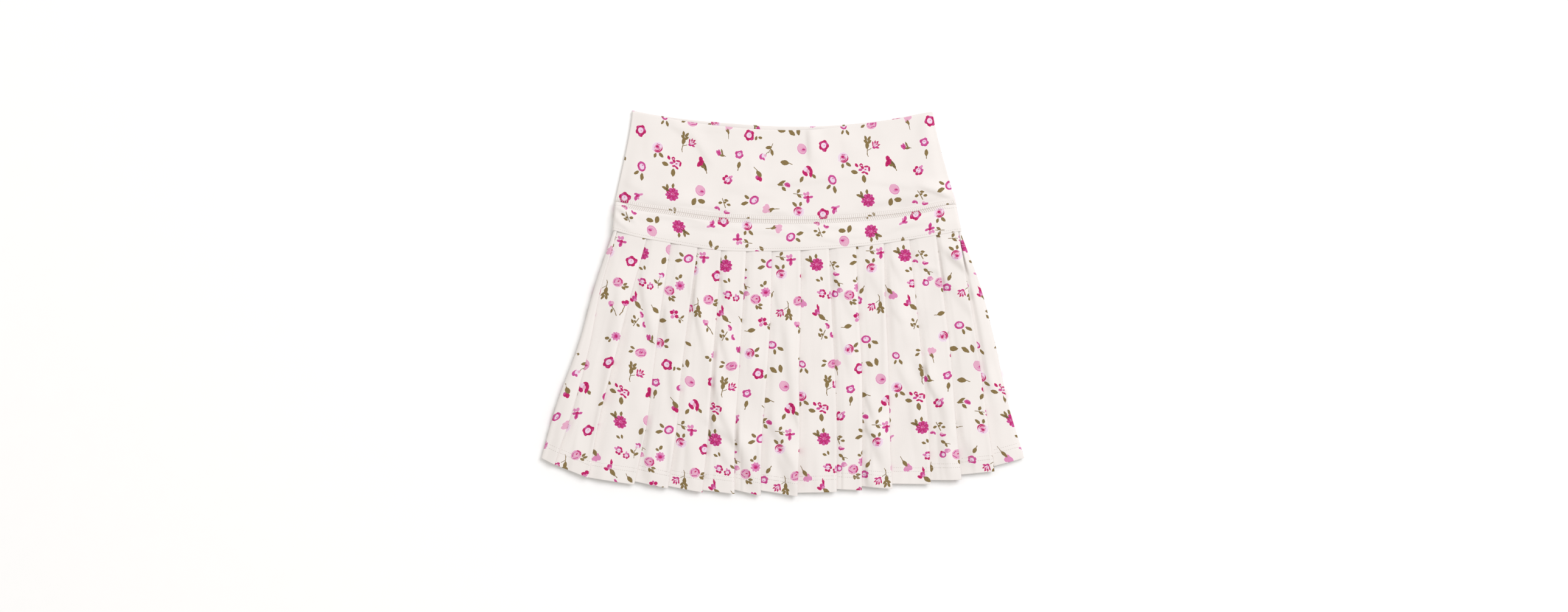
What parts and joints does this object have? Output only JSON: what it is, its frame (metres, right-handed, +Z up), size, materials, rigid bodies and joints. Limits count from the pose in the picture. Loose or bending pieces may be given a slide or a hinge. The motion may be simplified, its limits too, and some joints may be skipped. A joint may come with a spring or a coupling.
{
  "type": "skort",
  "caption": "High-rise pleated skort in small-floral knit, laid flat: wide waistband, narrow yoke, knife-pleated skirt over hidden shorts.",
  "frame": {"origin": "middle of the bounding box seen from above, on the surface that the garment lies on", "axes": "+X towards the right of a person looking down at the front, +Y from the hem towards the waist, +Z up out of the surface, through the front of the garment"},
  "size_m": [0.5165, 0.4127, 0.0129],
  "materials": {
    "printed_knit": "matt cream knit printed with small magenta, orchid and pink flowers and olive leaves",
    "shorts_knit": "matt plain cream knit",
    "thread": "cream sewing thread in flatlock, coverstitch and topstitch rows"
  },
  "bodies": {
    "root": {"waistband_front": "printed_knit", "waistband_back": "printed_knit", "yoke_front": "printed_knit", "yoke_back": "printed_knit", "skirt_front": "printed_knit", "skirt_back": "printed_knit", "shorts_front_left": "shorts_knit", "shorts_front_right": "shorts_knit", "shorts_back_left": "shorts_knit", "shorts_back_right": "shorts_knit"}
  },
  "joints": []
}
